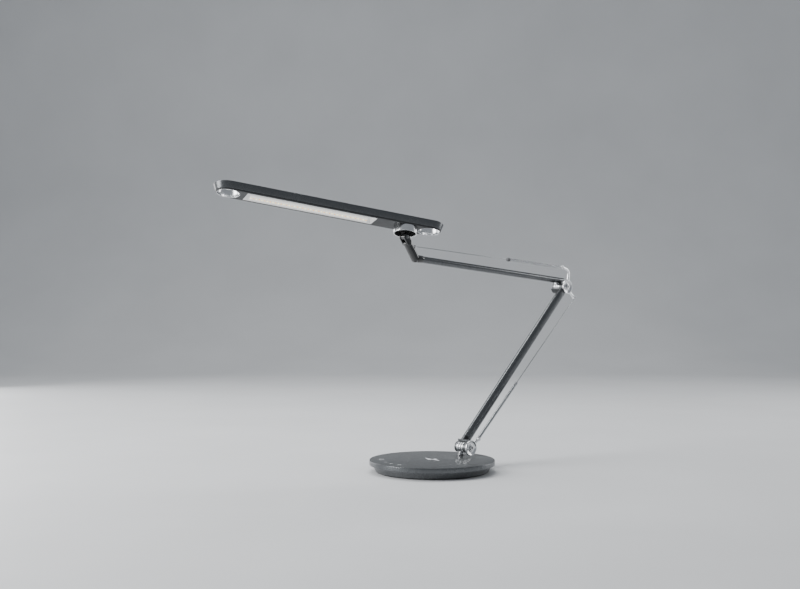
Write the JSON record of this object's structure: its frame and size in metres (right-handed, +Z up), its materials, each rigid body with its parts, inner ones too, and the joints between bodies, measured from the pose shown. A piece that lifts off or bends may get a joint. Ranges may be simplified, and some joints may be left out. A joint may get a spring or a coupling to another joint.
{
  "type": "swing arm desk lamp",
  "caption": "Desk lamp with a round charging base, two hinged arms with spring stays, and a slim light bar that tilts, rolls and swivels.",
  "frame": {"origin": "middle of the base's underside, on the table", "axes": "+Z up; -Y towards the user; the arms move in planes square to X; the hinge caps face +X"},
  "size_m": [0.2824, 0.7979, 0.5181],
  "materials": {
    "graphite_satin": "satin graphite anodised aluminium",
    "housing_grey": "satin grey paint",
    "arm_graphite": "satin graphite anodised aluminium",
    "fork_black": "satin black anodised aluminium",
    "neck_black": "glossy black",
    "satin_metal": "satin turned aluminium",
    "barrel_grey": "satin turned aluminium, grey",
    "bright_rod": "polished chrome",
    "spring_steel": "drawn steel",
    "wire_steel": "drawn steel",
    "dark_steel": "black oxide steel",
    "bright_screw": "zinc plated steel",
    "ballast": "raw cast iron",
    "foot_rubber": "matt black rubber",
    "mark_white": "printed pale grey",
    "bush_steel": "turned steel",
    "carrier_black": "moulded black plastic",
    "ferrite_grey": "sintered ferrite",
    "copper_wire": "enamelled copper winding",
    "board_green": "printed circuit board",
    "socket_black": "moulded black plastic",
    "well_white": "white reflector",
    "strip_white": "white circuit strip",
    "led_warm": "lit warm white",
    "sensor_dark": "dark window"
  },
  "bodies": {
    "base": {"foot_pad": "foot_rubber", "base_housing": "housing_grey", "base_weight": "ballast", "top_plate": "graphite_satin", "touch_marks": "mark_white", "charge_mark": "mark_white", "swivel_bush": "bush_steel", "coil_holder": "carrier_black", "charging_ferrite": "ferrite_grey", "charging_coil": "copper_wire", "control_board": "board_green", "touch_board": "board_green", "power_inlet": "socket_black", "inlet_pin": "bright_screw", "base_screws": "bright_screw"},
    "post": {"swivel_post": "barrel_grey", "post_washer": "bright_screw", "post_nut": "bright_screw"},
    "lower_arm": {"lower_fork": "fork_black", "elbow_fork": "fork_black", "lower_arm_tube": "arm_graphite", "fork_screws": "dark_steel", "lower_axle": "bright_screw", "spring_lug": "barrel_grey", "lug_pin": "bright_screw", "lower_cap": "satin_metal", "lower_cap_screw": "bright_screw", "link_spring": "spring_steel"},
    "upper_arm": {"elbow_barrel": "barrel_grey", "upper_arm_tube": "arm_graphite", "tube_plug": "satin_metal", "neck": "neck_black", "neck_pin": "dark_steel", "elbow_axle": "bright_screw", "elbow_cap": "satin_metal", "elbow_cap_screw": "bright_screw", "balance_lever": "bright_rod", "stay_hook": "wire_steel", "stay_spring": "spring_steel", "stay_bead": "dark_steel", "stay_wire": "wire_steel", "stay_anchor": "bright_screw"},
    "link_wire": {"link_wire": "wire_steel"},
    "tilt_knuckle": {"tilt_knuckle": "neck_black"},
    "swivel_drum": {"swivel_drum": "satin_metal", "roll_pin": "bright_screw", "swivel_spindle": "bright_screw", "spindle_washer": "bright_screw", "spindle_nut": "bright_screw"},
    "head": {"head_cover": "graphite_satin", "head_frame": "graphite_satin", "head_screws": "dark_steel", "rear_ring_trim": "satin_metal", "front_ring_trim": "satin_metal", "light_well": "well_white", "led_strip": "strip_white", "leds": "led_warm", "light_sensor": "sensor_dark", "driver_board": "board_green"}
  },
  "joints": [
    {"name": "base_swivel", "type": "hinge", "parent": "base", "child": "post", "pos_m": [0, 0.078, 0.022], "axis": [0, 0, 1], "range_deg": [-90, 90]},
    {"name": "lower_arm_tilt", "type": "hinge", "parent": "post", "child": "lower_arm", "pos_m": [0, 0.078, 0.038], "axis": [1, 0, 0], "range_deg": [-20, 40]},
    {"name": "elbow_tilt", "type": "hinge", "parent": "lower_arm", "child": "upper_arm", "pos_m": [0, 0.39091, 0.34018], "axis": [-1, 0, 0], "range_deg": [-20, 40]},
    {"name": "head_tilt", "type": "hinge", "parent": "upper_arm", "child": "tilt_knuckle", "pos_m": [-0.0136, -0.0577, 0.4281], "axis": [-1, 0, 0], "range_deg": [-35, 8]},
    {"name": "head_roll", "type": "hinge", "parent": "tilt_knuckle", "child": "swivel_drum", "pos_m": [-0.0136, -0.05581, 0.43587], "axis": [0, -0.9715, 0.2368], "range_deg": [-20, 20]},
    {"name": "head_swivel", "type": "hinge", "parent": "swivel_drum", "child": "head", "pos_m": [-0.01532, -0.05347, 0.44544], "axis": [-0.1719, 0.2333, 0.9571], "range_deg": [-80, 100]},
    {"name": "link_draw", "type": "slide", "parent": "lower_arm", "child": "link_wire", "axis": [-0.0307, 0.7613, 0.6476], "range_m": [-0.025, 0.0125]}
  ],
  "couplings": [
    {"joint": "link_draw", "follows": "elbow_tilt", "m_per_rad": -0.032945}
  ]
}
